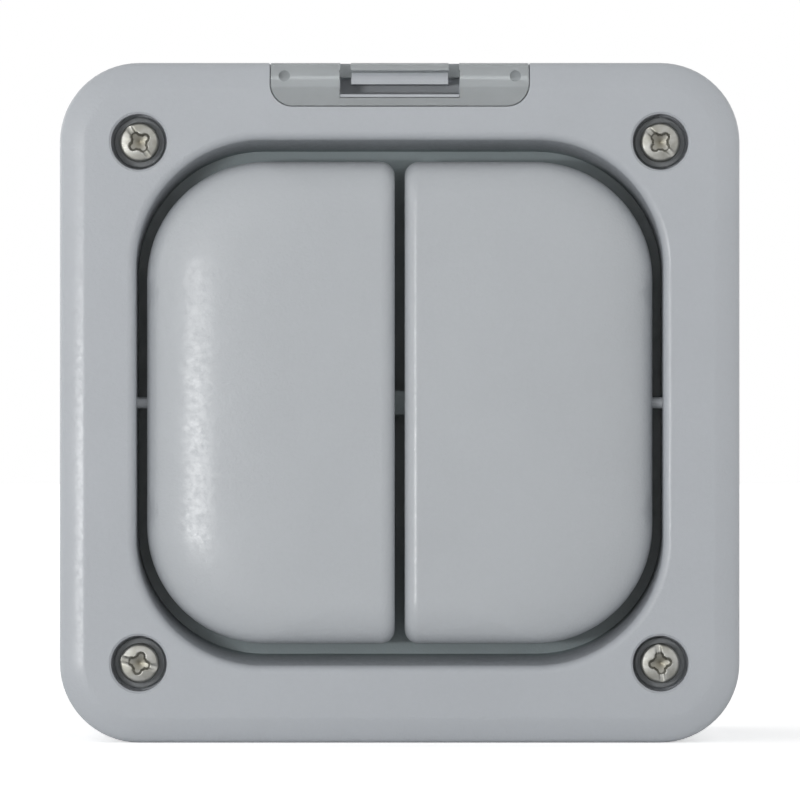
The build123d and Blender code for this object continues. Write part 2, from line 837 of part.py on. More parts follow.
def make_nodes():
    """Every piece of the switch by its name, still facing along z."""
    right_rocker = make_right_rocker()
    nodes = {
        "back_box": make_back_box(),
        "boss_inserts": make_boss_inserts(),
        "earth_terminal": make_earth_terminal(),
        "earth_screw": make_earth_screw(),
        "box_gasket": make_box_gasket(),
        "front_cover": make_front_cover(),
        "cover_screws": make_cover_screws(),
        "screw_seals": make_screw_seals(),
        "label_window": make_label_window(),
        "module_carrier": make_module_carrier(),
        "module_screws": make_module_screws(),
        "right_rocker": right_rocker,
        "left_rocker": mirror(right_rocker, about=Plane.YZ),
    }
    gang_pieces = {
        "membrane": make_membrane(),
        "switch_base": make_switch_base(),
        "dolly": make_dolly(),
        "plunger": make_plunger(),
        "spring": make_spring(),
        "moving_contact": make_moving_contact(),
        "common_terminal": make_common_terminal(),
        "way_one_terminal": make_way_terminal("way_one"),
        "way_two_terminal": make_way_terminal("way_two"),
        "terminal_screws": make_terminal_screws(),
    }
    for gang, place in (("left", -gang_place), ("right", gang_place)):
        for name, shape in gang_pieces.items():
            nodes[f"{gang}_{name}"] = Pos(place, 0, 0) * shape
    return nodes


os.makedirs("parts", exist_ok=True)
for node_name, node_shape in make_nodes().items():
    export_step(Rot(90, 0, 0) * node_shape, f"parts/{node_name}.step")
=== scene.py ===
"""Looks of a two-gang weatherproof rocker switch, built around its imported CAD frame."""

import json
import logging
import math
from dataclasses import dataclass, field
from enum import Enum

import bmesh
import bpy
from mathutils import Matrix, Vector

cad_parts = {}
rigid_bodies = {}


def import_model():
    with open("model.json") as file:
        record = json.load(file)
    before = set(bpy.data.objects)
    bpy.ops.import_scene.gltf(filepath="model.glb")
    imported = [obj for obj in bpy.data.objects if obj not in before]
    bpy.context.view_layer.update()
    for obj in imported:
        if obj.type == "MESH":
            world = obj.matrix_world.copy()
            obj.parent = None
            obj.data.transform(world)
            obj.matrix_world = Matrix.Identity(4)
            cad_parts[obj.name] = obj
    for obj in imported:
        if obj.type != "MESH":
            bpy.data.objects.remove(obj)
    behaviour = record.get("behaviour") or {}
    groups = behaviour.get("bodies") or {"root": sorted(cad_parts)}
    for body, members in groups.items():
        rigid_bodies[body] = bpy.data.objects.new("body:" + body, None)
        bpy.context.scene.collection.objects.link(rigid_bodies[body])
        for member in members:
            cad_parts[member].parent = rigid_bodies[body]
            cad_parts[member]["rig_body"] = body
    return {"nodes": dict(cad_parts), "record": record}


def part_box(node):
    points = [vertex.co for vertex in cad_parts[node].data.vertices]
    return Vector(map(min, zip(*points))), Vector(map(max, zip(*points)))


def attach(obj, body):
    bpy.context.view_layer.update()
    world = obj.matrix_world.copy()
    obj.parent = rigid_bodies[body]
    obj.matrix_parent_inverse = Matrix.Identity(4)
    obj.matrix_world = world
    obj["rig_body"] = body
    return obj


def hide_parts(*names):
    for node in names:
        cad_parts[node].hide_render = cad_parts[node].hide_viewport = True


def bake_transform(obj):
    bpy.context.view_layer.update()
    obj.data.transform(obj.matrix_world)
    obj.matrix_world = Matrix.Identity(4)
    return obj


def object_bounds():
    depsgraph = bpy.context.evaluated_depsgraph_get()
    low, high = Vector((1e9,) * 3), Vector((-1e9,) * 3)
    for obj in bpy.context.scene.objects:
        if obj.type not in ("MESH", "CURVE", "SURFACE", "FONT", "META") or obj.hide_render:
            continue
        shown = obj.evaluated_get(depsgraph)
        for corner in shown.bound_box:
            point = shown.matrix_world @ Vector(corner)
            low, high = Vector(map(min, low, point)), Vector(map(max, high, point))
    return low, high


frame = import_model()
cad_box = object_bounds()

log = logging.getLogger("rocker_switch")

MM = 0.001
Colour = tuple[float, float, float]
Profile = list[tuple[float, float]]
Piece = bpy.types.Object
Ring = list[bmesh.types.BMVert]
Socket = bpy.types.NodeSocket
Sockets = bpy.types.bpy_prop_collection
WHITE: Colour = (1.0, 1.0, 1.0)


class Gang(Enum):
    """The two switch gangs, by the prefix of their node and body names."""

    LEFT = "left"
    RIGHT = "right"


class Grouping(Enum):
    """The shader node groups that the finishes share."""

    GRAIN = "moulding_grain"
    TARNISH = "metal_tarnish"


def linear(red: int, green: int, blue: int) -> Colour:
    """Turn a colour in display steps into scene-linear values.

    Args:
        red: Red, from 0 to 255.
        green: Green, from 0 to 255.
        blue: Blue, from 0 to 255.

    Returns:
        The same colour in linear values from 0 to 1.
    """
    steps = [channel / 255 for channel in (red, green, blue)]
    return tuple(s / 12.92 if s <= 0.04045 else ((s + 0.055) / 1.055) ** 2.4 for s in steps)


def shaded(colour: Colour, share: float) -> Colour:
    """Scale a colour, below one for darker and above one for lighter.

    Args:
        colour: Linear colour.
        share: Factor on every channel.

    Returns:
        The scaled colour.
    """
    return tuple(min(1.0, channel * share) for channel in colour)


class Graph:
    """Adds, sets and links nodes in one node tree."""

    def __init__(self, tree: bpy.types.NodeTree) -> None:
        """Keep the tree to work in."""
        self.tree = tree

    def add(self, kind: str, inputs: dict | None = None, **settings: object) -> bpy.types.Node:
        """Add a node, with its settings and the values or links of its inputs.

        Args:
            kind: Blender's type name of the node.
            inputs: Input name or index, with a value or the output that feeds it.
            settings: Properties of the node itself.

        Returns:
            The new node.
        """
        node = self.tree.nodes.new(kind)
        for name, value in settings.items():
            setattr(node, name, value)
        self.feed(node, inputs or {})
        return node

    def feed(self, node: bpy.types.Node, inputs: dict) -> None:
        """Set or link the inputs of a node.

        Args:
            node: Node to feed.
            inputs: Input name or index, with a value or the output that feeds it.
        """
        for key, value in inputs.items():
            if isinstance(value, Socket):
                self.tree.links.new(value, node.inputs[key])
            else:
                node.inputs[key].default_value = value

    def sum(self, operation: str, first: object, second: object = 0.0) -> Socket:
        """Add a Math node.

        Args:
            operation: Blender's name of the sum.
            first: First value or output.
            second: Second value or output.

        Returns:
            The result's socket.
        """
        return self.add("ShaderNodeMath", {0: first, 1: second}, operation=operation).outputs[0]

    def spread(self, value: Socket, low: float, high: float, start: float = 0.0, end: float = 1.0) -> Socket:
        """Map a range of values to another range, held at its ends.

        Args:
            value: Output to map.
            low: Value that becomes start.
            high: Value that becomes end.
            start: Result at low.
            end: Result at high.

        Returns:
            The result's socket.
        """
        ends = {"Value": value, "From Min": low, "From Max": high, "To Min": start, "To Max": end}
        return self.add("ShaderNodeMapRange", ends).outputs["Result"]

    def swing(self, mask: Socket, middle: float, width: float) -> Socket:
        """Vary a value about its middle by a mask.

        Args:
            mask: Output between 0 and 1.
            middle: Value at the middle of the mask.
            width: Whole range of the value.

        Returns:
            The varied value's socket.
        """
        return self.spread(mask, 0.0, 1.0, middle - width / 2, middle + width / 2)

    def relief(self, height: Socket, depth: float) -> Socket:
        """Turn a height into a surface normal.

        Args:
            height: Output with the height.
            depth: Depth of the relief in metres.

        Returns:
            The normal's socket.
        """
        inputs = {"Height": height, "Distance": depth, "Strength": 1.0}
        return self.add("ShaderNodeBump", inputs).outputs[0]

    def mix(self, share: Socket, first: object, second: object) -> Socket:
        """Blend two colours by a share that varies over the surface.

        Args:
            share: Output between 0, the first colour, and 1, the second.
            first: Linear colour or output.
            second: Linear colour or output.

        Returns:
            The blended colour's socket.
        """
        node = self.add("ShaderNodeMix", data_type="RGBA")
        self.tree.links.new(share, node.inputs["Factor"])
        for socket, colour in ((node.inputs[6], first), (node.inputs[7], second)):
            if isinstance(colour, Socket):
                self.tree.links.new(colour, socket)
            else:
                socket.default_value = (*colour, 1.0)
        return node.outputs[2]


def blank_graph(owner: bpy.types.Material | bpy.types.World) -> Graph:
    """Empty the node tree of a material or a world.

    Args:
        owner: Material or world.

    Returns:
        A graph on its empty tree.
    """
    owner.use_nodes = True
    owner.node_tree.nodes.clear()
    return Graph(owner.node_tree)


def blank_group(
    name: str, kind: str, inputs: dict[str, str], outputs: dict[str, str]
) -> tuple[Graph, Sockets, bpy.types.Node]:
    """Make an empty node group with named sockets.

    Args:
        name: Name of the group.
        kind: Blender's type name of its tree.
        inputs: Input name with its socket type, such as Float.
        outputs: Output name with its socket type.

    Returns:
        The graph, the sockets of the inputs and the output node.
    """
    tree = bpy.data.node_groups.new(name, kind)
    for side, sockets in (("INPUT", inputs), ("OUTPUT", outputs)):
        for socket, form in sockets.items():
            tree.interface.new_socket(socket, in_out=side, socket_type="NodeSocket" + form)
    graph = Graph(tree)
    return graph, graph.add("NodeGroupInput").outputs, graph.add("NodeGroupOutput")


class ShaderGroups:
    """Shared surface effects, each one a node group that is built once."""

    noise_roughness = 0.55
    blotch_grains = 7.0
    blotch_share = 0.25
    sparkle_grains = 1.8
    scratch_stretch = (0.12, 1.0, 1.0)
    wide_range = (0.3, 0.7)
    narrow_range = (0.35, 0.65)
    stain_range = (0.38, 0.68)

    @staticmethod
    def use(graph: Graph, kind: Grouping, inputs: dict) -> Sockets:
        """Place an effect in a material.

        Args:
            graph: Graph of the material.
            kind: Which effect.
            inputs: Value or output of each named input.

        Returns:
            The effect's outputs.
        """
        return graph.add("ShaderNodeGroup", inputs, node_tree=ShaderGroups.get(kind)).outputs

    @staticmethod
    def get(kind: Grouping) -> bpy.types.NodeTree:
        """Find a group, or build it at its first use.

        Args:
            kind: Which effect.

        Returns:
            The node group.
        """
        found = bpy.data.node_groups.get(kind.value)
        if found is not None:
            return found
        builders = {Grouping.GRAIN: ShaderGroups.grain, Grouping.TARNISH: ShaderGroups.tarnish}
        return builders[kind]()

    @staticmethod
    def noise(graph: Graph, place: object, size: object, detail: float) -> Socket:
        """Add a noise whose spots have about the given size in metres.

        Args:
            graph: Graph to add to.
            place: Output with the position.
            size: Output or value with the spot size.
            detail: Octaves of finer noise.

        Returns:
            The noise's socket.
        """
        scale = graph.sum("DIVIDE", 1.0, size)
        rough = ShaderGroups.noise_roughness
        spots = {"Vector": place, "Scale": scale, "Detail": detail, "Roughness": rough}
        return graph.add("ShaderNodeTexNoise", spots).outputs[0]

    @staticmethod
    def grain() -> bpy.types.NodeTree:
        """Build the fine texture, the faint mottling and the sparkle of a moulded surface.

        Returns:
            The node group.
        """
        inputs = {"Position": "Vector", "Grain size": "Float", "Mottle size": "Float"}
        outputs = dict.fromkeys(("Height", "Tone", "Sheen", "Sparkle"), "Float")
        graph, start, end = blank_group(Grouping.GRAIN.value, "ShaderNodeTree", inputs, outputs)
        place, size = start["Position"], start["Grain size"]
        fine = ShaderGroups.noise(graph, place, size, detail=2.0)
        coarse = ShaderGroups.noise(graph, place, start["Mottle size"], detail=3.0)
        blotch_size = graph.sum("MULTIPLY", size, ShaderGroups.blotch_grains)
        blotch = ShaderGroups.noise(graph, place, blotch_size, detail=2.0)
        sparkle_size = graph.sum("MULTIPLY", size, ShaderGroups.sparkle_grains)
        sparkle = ShaderGroups.noise(graph, place, sparkle_size, detail=2.0)
        swell = graph.sum("MULTIPLY", blotch, ShaderGroups.blotch_share)
        results = {
            "Height": graph.sum("ADD", fine, swell),
            "Tone": graph.spread(coarse, *ShaderGroups.wide_range),
            "Sheen": graph.spread(blotch, *ShaderGroups.wide_range),
            "Sparkle": graph.spread(sparkle, *ShaderGroups.narrow_range),
        }
        graph.feed(end, results)
        return graph.tree

    @staticmethod
    def tarnish() -> bpy.types.NodeTree:
        """Build the stains and fine scratches of a metal surface.

        Returns:
            The node group.
        """
        inputs = {"Position": "Vector", "Stain size": "Float", "Scratch size": "Float"}
        outputs = dict.fromkeys(("Height", "Stain", "Scratch"), "Float")
        graph, start, end = blank_group(Grouping.TARNISH.value, "ShaderNodeTree", inputs, outputs)
        stain = ShaderGroups.noise(graph, start["Position"], start["Stain size"], detail=4.0)
        stretch = {"Vector": start["Position"], "Scale": ShaderGroups.scratch_stretch}
        drawn = graph.add("ShaderNodeMapping", stretch).outputs[0]
        scratch = ShaderGroups.noise(graph, drawn, start["Scratch size"], detail=2.0)
        results = {
            "Height": scratch,
            "Stain": graph.spread(stain, *ShaderGroups.stain_range),
            "Scratch": graph.spread(scratch, *ShaderGroups.narrow_range),
        }
        graph.feed(end, results)
        return graph.tree


@dataclass(frozen=True)
class Finish:
    """Base of every finish: its name, which is also the record's material slot."""

    slot: str

    def start(self) -> tuple[Graph, bpy.types.Node, Socket, bpy.types.Material]:
        """Make an empty material with its shader and its position input.

        Returns:
            The graph, the shader, the position's socket and the material.
        """
        material = bpy.data.materials.new(self.slot)
        graph = blank_graph(material)
        shader = graph.add("ShaderNodeBsdfPrincipled")
        graph.add("ShaderNodeOutputMaterial", {"Surface": shader.outputs[0]})
        place = graph.add("ShaderNodeTexCoord").outputs["Object"]
        return graph, shader, place, material

    def make(self) -> bpy.types.Material:
        """Build the material of this finish."""
        raise NotImplementedError


@dataclass(frozen=True)
class MouldedFinish(Finish):
    """Moulded plastic or rubber with a fine texture, a faint mottling and painted shade below a given depth.
    """

    colour: Colour
    roughness: float = 0.45
    roughness_swing: float = 0.06
    grain_size: float = 0.45 * MM
    grain_depth: float = 0.05 * MM
    mottle_size: float = 14 * MM
    mottle_share: float = 0.97
    skin: float = 0.0
    skin_swing: float = 0.0
    skin_roughness: float = 0.21
    well_shade_colour: Colour | None = None
    well_shade_top: float = -44.5 * MM
    well_shade_reach: float = 2.5 * MM
    well_shade_within: float = 41.0 * MM
    well_shade_within_edge: float = 1.01
    well_shade_patch_half: tuple[float, float] = (1.5 * MM, 2.5 * MM)
    well_shade_patch_edge: float = 1.1
    well_shade_sides: tuple[float, float] = (22.0 * MM, 33.0 * MM)
    well_shade_side_share: float = 0.5

    def make(self) -> bpy.types.Material:
        """Build the material of this finish.

        Returns:
            The material.
        """
        graph, shader, place, material = self.start()
        sizes = {"Position": place, "Grain size": self.grain_size, "Mottle size": self.mottle_size}
        grain = ShaderGroups.use(graph, Grouping.GRAIN, sizes)
        tone = graph.mix(grain["Tone"], shaded(self.colour, self.mottle_share), self.colour)
        # Painted shade: a darker teal colour in the well's gaps, sides and corners and round the middle post.
        if self.well_shade_colour is not None:
            deep, side = self.well_shade(graph, place)
            well_shade = graph.mix(side, self.well_shade_colour, shaded(self.well_shade_colour, self.well_shade_side_share))
            tone = graph.mix(deep, tone, well_shade)
        skin = self.skin
        if self.skin_swing > 0.0:
            skin = graph.swing(grain["Sparkle"], self.skin, self.skin_swing)
        looks = {
            "Base Color": tone,
            "Roughness": graph.swing(grain["Sheen"], self.roughness, self.roughness_swing),
            "Normal": graph.relief(grain["Height"], self.grain_depth),
            "Coat Weight": skin,
            "Coat Roughness": self.skin_roughness,
        }
        graph.feed(shader, looks)
        return material

    def well_shade(self, graph: Graph, place: Socket) -> tuple[Socket, ...]:
        """Mask the painted shade in the well, below a depth, and on a small patch about the middle.

        Args:
            graph: Graph to add to.
            place: Output with the position.

        Returns:
            The sockets of the painted shade's mask and of the mask of its sides, where the painted shade is
            darker.
        """
        parts = graph.add("ShaderNodeSeparateXYZ", {0: place}).outputs
        deep = graph.spread(parts["Y"], self.well_shade_top, self.well_shade_top + self.well_shade_reach)
        patch = 1.0
        for axis, half in zip("XZ", self.well_shade_patch_half):
            off = graph.sum("ABSOLUTE", parts[axis])
            middle = graph.spread(off, half, self.well_shade_patch_edge * half, 1.0, 0.0)
            patch = graph.sum("MULTIPLY", patch, middle)
            near = graph.spread(off, self.well_shade_within, self.well_shade_within_edge * self.well_shade_within, 1.0, 0.0)
            deep = graph.sum("MULTIPLY", deep, near)
        side = graph.spread(graph.sum("ABSOLUTE", parts["X"]), *self.well_shade_sides)
        return graph.sum("MAXIMUM", deep, patch), side


@dataclass(frozen=True)
class MetalFinish(Finish):
    """Metal with stains and fine scratches, and grime with painted shade below a given depth of the front."""

    colour: Colour
    stain_colour: Colour
    roughness: float = 0.3
    roughness_swing: float = 0.15
    stain_size: float = 1.6 * MM
    scratch_size: float = 0.12 * MM
    scratch_depth: float = 0.006 * MM
    grime_and_shade_colour: Colour | None = None
    grime_and_shade_top: float = 0.0
    grime_and_shade_reach: float = 0.3 * MM

    def make(self) -> bpy.types.Material:
        """Build the material of this finish.

        Returns:
            The material.
        """
        graph, shader, place, material = self.start()
        sizes = {"Position": place, "Stain size": self.stain_size, "Scratch size": self.scratch_size}
        tarnish = ShaderGroups.use(graph, Grouping.TARNISH, sizes)
        tone = graph.mix(tarnish["Stain"], self.colour, self.stain_colour)
        # Grime and painted shade: a darker olive colour on all that lies deeper than a depth, such as the
        # screws' cross recesses and the edges of their heads.
        if self.grime_and_shade_colour is not None:
            depth = graph.add("ShaderNodeSeparateXYZ", {0: place}).outputs["Y"]
            deep = graph.spread(depth, self.grime_and_shade_top, self.grime_and_shade_top + self.grime_and_shade_reach)
            tone = graph.mix(deep, tone, self.grime_and_shade_colour)
        looks = {
            "Base Color": tone,
            "Roughness": graph.swing(tarnish["Scratch"], self.roughness, self.roughness_swing),
            "Normal": graph.relief(tarnish["Height"], self.scratch_depth),
            "Metallic": 1.0,
        }
        graph.feed(shader, looks)
        return material


@dataclass(frozen=True)
class ClearFinish(Finish):
    """Clear moulded plastic, slightly hazy, with painted shade that darkens it below a given height."""

    colour: Colour
    shade_below_share: float = 0.87
    shade_below_top: float = 44.4 * MM
    shade_below_reach: float = 0.3 * MM
    roughness: float = 0.12
    roughness_swing: float = 0.06
    haze_size: float = 6 * MM
    haze_grain: float = 1.5 * MM
    haze_share: float = 0.95
    transmission: float = 1.0
    ior: float = 1.49

    def make(self) -> bpy.types.Material:
        """Build the material of this finish.

        Returns:
            The material.
        """
        graph, shader, place, material = self.start()
        sizes = {"Position": place, "Grain size": self.haze_grain, "Mottle size": self.haze_size}
        grain = ShaderGroups.use(graph, Grouping.GRAIN, sizes)
        # Painted shade: the window's colour is darker below a height.
        height = graph.add("ShaderNodeSeparateXYZ", {0: place}).outputs["Z"]
        upper = graph.spread(height, self.shade_below_top, self.shade_below_top + self.shade_below_reach)
        tones = []
        for share in (self.haze_share, 1.0):
            below, above = shaded(self.colour, share * self.shade_below_share), shaded(self.colour, share)
            tones.append(graph.mix(upper, below, above))
        looks = {
            "Base Color": graph.mix(grain["Tone"], *tones),
            "Roughness": graph.swing(grain["Sheen"], self.roughness, self.roughness_swing),
            "Transmission Weight": self.transmission,
            "IOR": self.ior,
        }
        graph.feed(shader, looks)
        return material


SATIN = {"roughness": 0.46, "skin": 0.3, "skin_swing": 0.27}
FINISHES: tuple[Finish, ...] = (
    MouldedFinish("box_grey", linear(176, 180, 185), **SATIN),
    # The cover's colour carries painted shade in its well.
    MouldedFinish("cover_grey", linear(176, 180, 185), well_shade_colour=linear(146, 158, 161), **SATIN),
    MouldedFinish("rocker_grey", linear(177, 181, 185), **SATIN),
    ClearFinish("window_plastic", linear(214, 219, 221), transmission=0.55, roughness=0.1),
    MetalFinish(
        "screw_steel",
        linear(176, 176, 172),
        linear(150, 149, 141),
        roughness=0.42,
        grime_and_shade_colour=linear(113, 109, 95),
        grime_and_shade_top=-50.3 * MM,
        grime_and_shade_reach=0.5 * MM,
    ),
    MouldedFinish("seal_rubber", linear(150, 153, 155), roughness=0.65, mottle_share=0.9),
    MouldedFinish("carrier_plastic", linear(96, 99, 103), roughness=0.5),
    MetalFinish("zinc_steel", linear(196, 199, 203), linear(160, 163, 168)),
    MetalFinish("brass", linear(206, 172, 96), linear(170, 136, 74)),
    MouldedFinish("membrane_rubber", linear(88, 91, 95), roughness=0.7, mottle_share=0.85),
    MouldedFinish("module_plastic", linear(222, 221, 214), roughness=0.4),
    MouldedFinish("dolly_plastic", linear(212, 212, 208), roughness=0.4),
)


@dataclass
class Paintbox:
    """The materials of the object, one for each finish."""

    materials: dict[str, bpy.types.Material] = field(default_factory=dict)

    def fill(self) -> None:
        """Build every finish once."""
        for finish in FINISHES:
            self.materials[finish.slot] = finish.make()

    def dress(self, piece: Piece, slot: str) -> None:
        """Give a piece one finish.

        Args:
            piece: Object to dress.
            slot: Material slot of the record.
        """
        piece.data.materials.clear()
        piece.data.materials.append(self.materials[slot])


def node_slots() -> dict[str, str]:
    """Read from the record which material slot each CAD node has."""
    return {part["node"]: part["material_slot"] for part in frame["record"]["subparts"]}


def node_body(node: str) -> str:
    """Name the CAD body that a node rides on."""
    return frame["nodes"][node]["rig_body"]


def link_piece(name: str, mesh: bpy.types.Mesh) -> Piece:
    """Put a mesh in the scene as an object at the origin.

    Args:
        name: Name of the piece.
        mesh: Its mesh, already in place.

    Returns:
        The new object.
    """
    piece = bpy.data.objects.new(name, mesh)
    bpy.context.scene.collection.objects.link(piece)
    return piece


def plain_mesh(piece: Piece, name: str) -> bpy.types.Mesh:
    """Turn an object with live modifiers into a plain mesh.

    Args:
        piece: Object to evaluate.
        name: Name of the new mesh.

    Returns:
        The evaluated mesh.
    """
    bpy.context.view_layer.update()
    graph = bpy.context.evaluated_depsgraph_get()
    mesh = bpy.data.meshes.new_from_object(piece.evaluated_get(graph), depsgraph=graph)
    mesh.name = name
    return mesh


@dataclass
class PlateEdge:
    """The cover's outer edge: a shallow bevel in place of the round roll of the CAD node."""

    half: float = 48.0 * MM
    corner: float = 11.2 * MM
    front: float = -52.0 * MM
    roll: float = 3.8 * MM
    near: float = 0.05 * MM
    steps: int = 60
    insides: tuple[float, ...] = (0.0, 0.5, 1.0, 2.0, 2.76, 3.6, 3.8)
    tilts: tuple[float, ...] = (75.0, 31.0, 24.0, 16.5, 13.0, 10.5, 0.0)

    def inside(self, x: float, z: float) -> float:
        """Measure how far a point lies inside the plate's outline.

        Args:
            x: Place across the plate.
            z: Place up the plate.

        Returns:
            The distance to the outline.
        """
        straight = self.half - self.corner
        past_x, past_z = abs(x) - straight, abs(z) - straight
        if past_x > 0 and past_z > 0:
            return self.corner - math.hypot(past_x, past_z)
        return self.corner - max(past_x, past_z)

    def tilt(self, inside: float) -> float:
        """Give the bevel's tilt at a distance from the outline.

        Args:
            inside: Distance to the outline.

        Returns:
            The tilt in radians.
        """
        pairs = list(zip(self.insides, self.tilts))
        for (low, steep), (high, flat) in zip(pairs, pairs[1:]):
            if inside <= high * MM:
                share = (inside / MM - low) / (high - low)
                return math.radians(steep + share * (flat - steep))
        return 0.0

    def drop(self, inside: float) -> float:
        """Add up how far the bevel falls from the front to a distance from the outline.

        Args:
            inside: Distance to the outline.

        Returns:
            The drop below the front.
        """
        stride = (self.roll - inside) / self.steps
        return sum(stride * math.tan(self.tilt(inside + (step + 0.5) * stride)) for step in range(self.steps))

    def bend(self, point: Vector) -> None:
        """Move a point of the round roll onto the bevel.

        Args:
            point: The point, which is changed if it lies on the roll.
        """
        inside = max(self.inside(point.x, point.z), 0.0)
        if inside > self.roll:
            return
        round_drop = self.roll - math.sqrt(self.roll**2 - (self.roll - inside) ** 2)
        if abs(point.y - self.front - round_drop) < self.near:
            point.y = self.front + self.drop(inside)


@dataclass
class Smoother:
    """Makes smooth pieces from the loose triangles of CAD nodes."""

    weld: float = 0.002 * MM
    crease: float = math.radians(28)
    face_weight: int = 100

    def copy(self, node: str, name: str, edge: PlateEdge | None = None) -> Piece:
        """Copy a CAD node as one welded mesh with smooth rolls and flat faces.

        Args:
            node: CAD node to copy.
            name: Name of the new piece.
            edge: Outer edge that its roll is bent to, if any.

        Returns:
            The new piece, in place.
        """
        mesh = frame["nodes"][node].data.copy()
        mesh.name = name
        shape = bmesh.new()
        shape.from_mesh(mesh)
        bmesh.ops.remove_doubles(shape, verts=shape.verts, dist=self.weld)
        bmesh.ops.dissolve_degenerate(shape, edges=shape.edges, dist=self.weld)
        if edge is not None:
            for corner in shape.verts:
                edge.bend(corner.co)
        shape.to_mesh(mesh)
        shape.free()
        if mesh.has_custom_normals:
            mesh.attributes.remove(mesh.attributes["custom_normal"])
        mesh.shade_smooth()
        mesh.set_sharp_from_angle(angle=self.crease)
        draft = link_piece(name + "_draft", mesh)
        weighted = draft.modifiers.new("even_faces", "WEIGHTED_NORMAL")
        weighted.mode = "FACE_AREA"
        weighted.weight = self.face_weight
        weighted.keep_sharp = True
        final = plain_mesh(draft, name)
        bpy.data.objects.remove(draft)
        bpy.data.meshes.remove(mesh)
        return link_piece(name, final)


@dataclass
class Repeater:
    """A Geometry Nodes tree that sets copies of one small piece at points."""

    name: str = "set_at_points"

    def tree(self) -> bpy.types.NodeTree:
        """Find the tree, or build it at its first use.

        Returns:
            The Geometry Nodes tree, with the inputs Piece and Finish.
        """
        found = bpy.data.node_groups.get(self.name)
        if found is not None:
            return found
        inputs = {"Points": "Geometry", "Piece": "Object", "Finish": "Material"}
        graph, start, end = blank_group(self.name, "GeometryNodeTree", inputs, {"Copies": "Geometry"})
        source = graph.add("GeometryNodeObjectInfo", {"Object": start["Piece"]})
        turn = graph.add("GeometryNodeInputNamedAttribute", {"Name": "turn"}, data_type="FLOAT")
        angles = graph.add("ShaderNodeCombineXYZ", {"Y": turn.outputs[0]})
        placing = {
            "Points": start["Points"],
            "Instance": source.outputs["Geometry"],
            "Rotation": angles.outputs[0],
        }
        copies = graph.add("GeometryNodeInstanceOnPoints", placing)
        solid = graph.add("GeometryNodeRealizeInstances", {0: copies.outputs[0]})
        dressed = graph.add("GeometryNodeSetMaterial", {0: solid.outputs[0], "Material": start["Finish"]})
        graph.feed(end, {0: dressed.outputs[0]})
        return graph.tree

    def place(
        self,
        name: str,
        source: bpy.types.Mesh,
        points: list[Vector],
        turns: list[float],
        material: bpy.types.Material,
    ) -> Piece:
        """Set copies of a mesh at points, each turned about its own axis.

        Args:
            name: Name of the piece that holds the copies.
            source: Mesh to repeat, with its axis along Y.
            points: Places of the copies.
            turns: Turn of each copy about its axis, in radians.
            material: Finish of the copies.

        Returns:
            One plain piece with every copy in it.
        """
        cloud = bpy.data.meshes.new(name + "_points")
        cloud.from_pydata([tuple(point) for point in points], [], [])
        turn = cloud.attributes.new("turn", "FLOAT", "POINT")
        turn.data.foreach_set("value", turns)
        sample = link_piece(name + "_sample", source)
        draft = link_piece(name + "_draft", cloud)
        tree = self.tree()
        modifier = draft.modifiers.new("copies", "NODES")
        modifier.node_group = tree
        sockets = {item.name: item.identifier for item in tree.interface.items_tree}
        modifier[sockets["Piece"]] = sample
        modifier[sockets["Finish"]] = material
        final = plain_mesh(draft, name)
        draft.modifiers.remove(modifier)
        for used in (draft, sample):
            bpy.data.objects.remove(used)
        return link_piece(name, final)


@dataclass
class Coil:
    """A Geometry Nodes tree that winds a round wire spring."""

    name: str = "wound_spring"
    turn_steps: int = 40
    wire_sides: int = 14

    def tree(self) -> bpy.types.NodeTree:
        """Find the tree, or build it at its first use.

        Returns:
            The Geometry Nodes tree, with the spring's sizes as inputs.
        """
        found = bpy.data.node_groups.get(self.name)
        if found is not None:
            return found
        inputs = {"Blank": "Geometry", "Turns": "Float", "Radius": "Float", "Length": "Float"}
        inputs |= {"Wire radius": "Float", "Place": "Vector", "Finish": "Material"}
        graph, start, end = blank_group(self.name, "GeometryNodeTree", inputs, {"Spring": "Geometry"})
        winding = {
            "Resolution": self.turn_steps,
            "Rotations": start["Turns"],
            "Start Radius": start["Radius"],
            "End Radius": start["Radius"],
            "Height": start["Length"],
        }
        line = graph.add("GeometryNodeCurveSpiral", winding)
        outline = {"Resolution": self.wire_sides, "Radius": start["Wire radius"]}
        section = graph.add("GeometryNodeCurvePrimitiveCircle", outline)
        ends = {"Curve": line.outputs[0], "Profile Curve": section.outputs[0], "Fill Caps": True}
        wire = graph.add("GeometryNodeCurveToMesh", ends)
        smooth = graph.add("GeometryNodeSetShadeSmooth", {0: wire.outputs[0]})
        upright = {
            "Geometry": smooth.outputs[0],
            "Translation": start["Place"],
            "Rotation": (math.pi / 2, 0.0, 0.0),
        }
        placed = graph.add("GeometryNodeTransform", upright)
        solid = graph.add("GeometryNodeRealizeInstances", {0: placed.outputs[0]})
        dressed = graph.add("GeometryNodeSetMaterial", {0: solid.outputs[0], "Material": start["Finish"]})
        graph.feed(end, {0: dressed.outputs[0]})
        return graph.tree

    def wind(self, name: str, sizes: dict[str, object]) -> Piece:
        """Wind one spring.

        Args:
            name: Name of the piece.
            sizes: Value of each named input of the tree.

        Returns:
            The spring as a plain piece.
        """
        tree = self.tree()
        draft = link_piece(name + "_draft", bpy.data.meshes.new(name + "_blank"))
        modifier = draft.modifiers.new("winding", "NODES")
        modifier.node_group = tree
        for item in tree.interface.items_tree:
            if item.name in sizes:
                modifier[item.identifier] = sizes[item.name]
        final = plain_mesh(draft, name)
        draft.modifiers.remove(modifier)
        bpy.data.objects.remove(draft)
        return link_piece(name, final)


